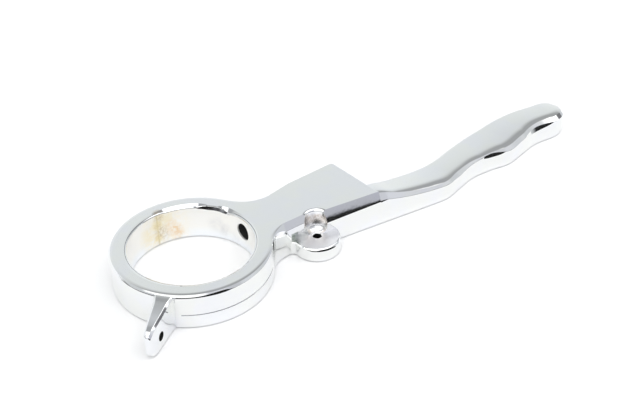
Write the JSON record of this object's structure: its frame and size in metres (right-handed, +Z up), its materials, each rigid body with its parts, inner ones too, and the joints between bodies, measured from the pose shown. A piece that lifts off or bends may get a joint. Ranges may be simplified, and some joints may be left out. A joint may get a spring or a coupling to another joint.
{
  "type": "clutch lever",
  "caption": "Hub-ring clutch lever: plated casting with spring lug, pivot ear and wavy grip, lined bore and a sprung plunger in the arm.",
  "frame": {"origin": "on the hub bore's axis, at the plane that the lever rests on (the ring's lower face)", "axes": "+Z up along the hub bore's axis, +X out along the plunger's bore from the hub axis, towards the grip"},
  "size_m": [0.1854, 0.05, 0.0122],
  "materials": {
    "chrome_plate": "polished chrome plate over a zinc casting",
    "liner": "satin nickel plate, stained yellow-brown",
    "plunger_steel": "hardened and ground, dark",
    "pin_steel": "ground dowel steel",
    "spring_steel": "drawn music wire",
    "plug_zinc": "bright zinc plated steel"
  },
  "bodies": {
    "lever": {"lever_casting": "chrome_plate", "bore_liner": "liner", "plunger_key_pin": "pin_steel", "plunger_spring": "spring_steel", "spring_plug": "plug_zinc"},
    "plunger": {"clutch_plunger": "plunger_steel"}
  },
  "joints": [
    {"name": "clutch_plunger_slide", "type": "slide", "parent": "lever", "child": "plunger", "axis": [-1, 0, 0], "range_m": [0, 0.0065], "stiffness_N_per_m": 300, "springref_m": 0.012, "deforming": ["plunger_spring"]}
  ]
}
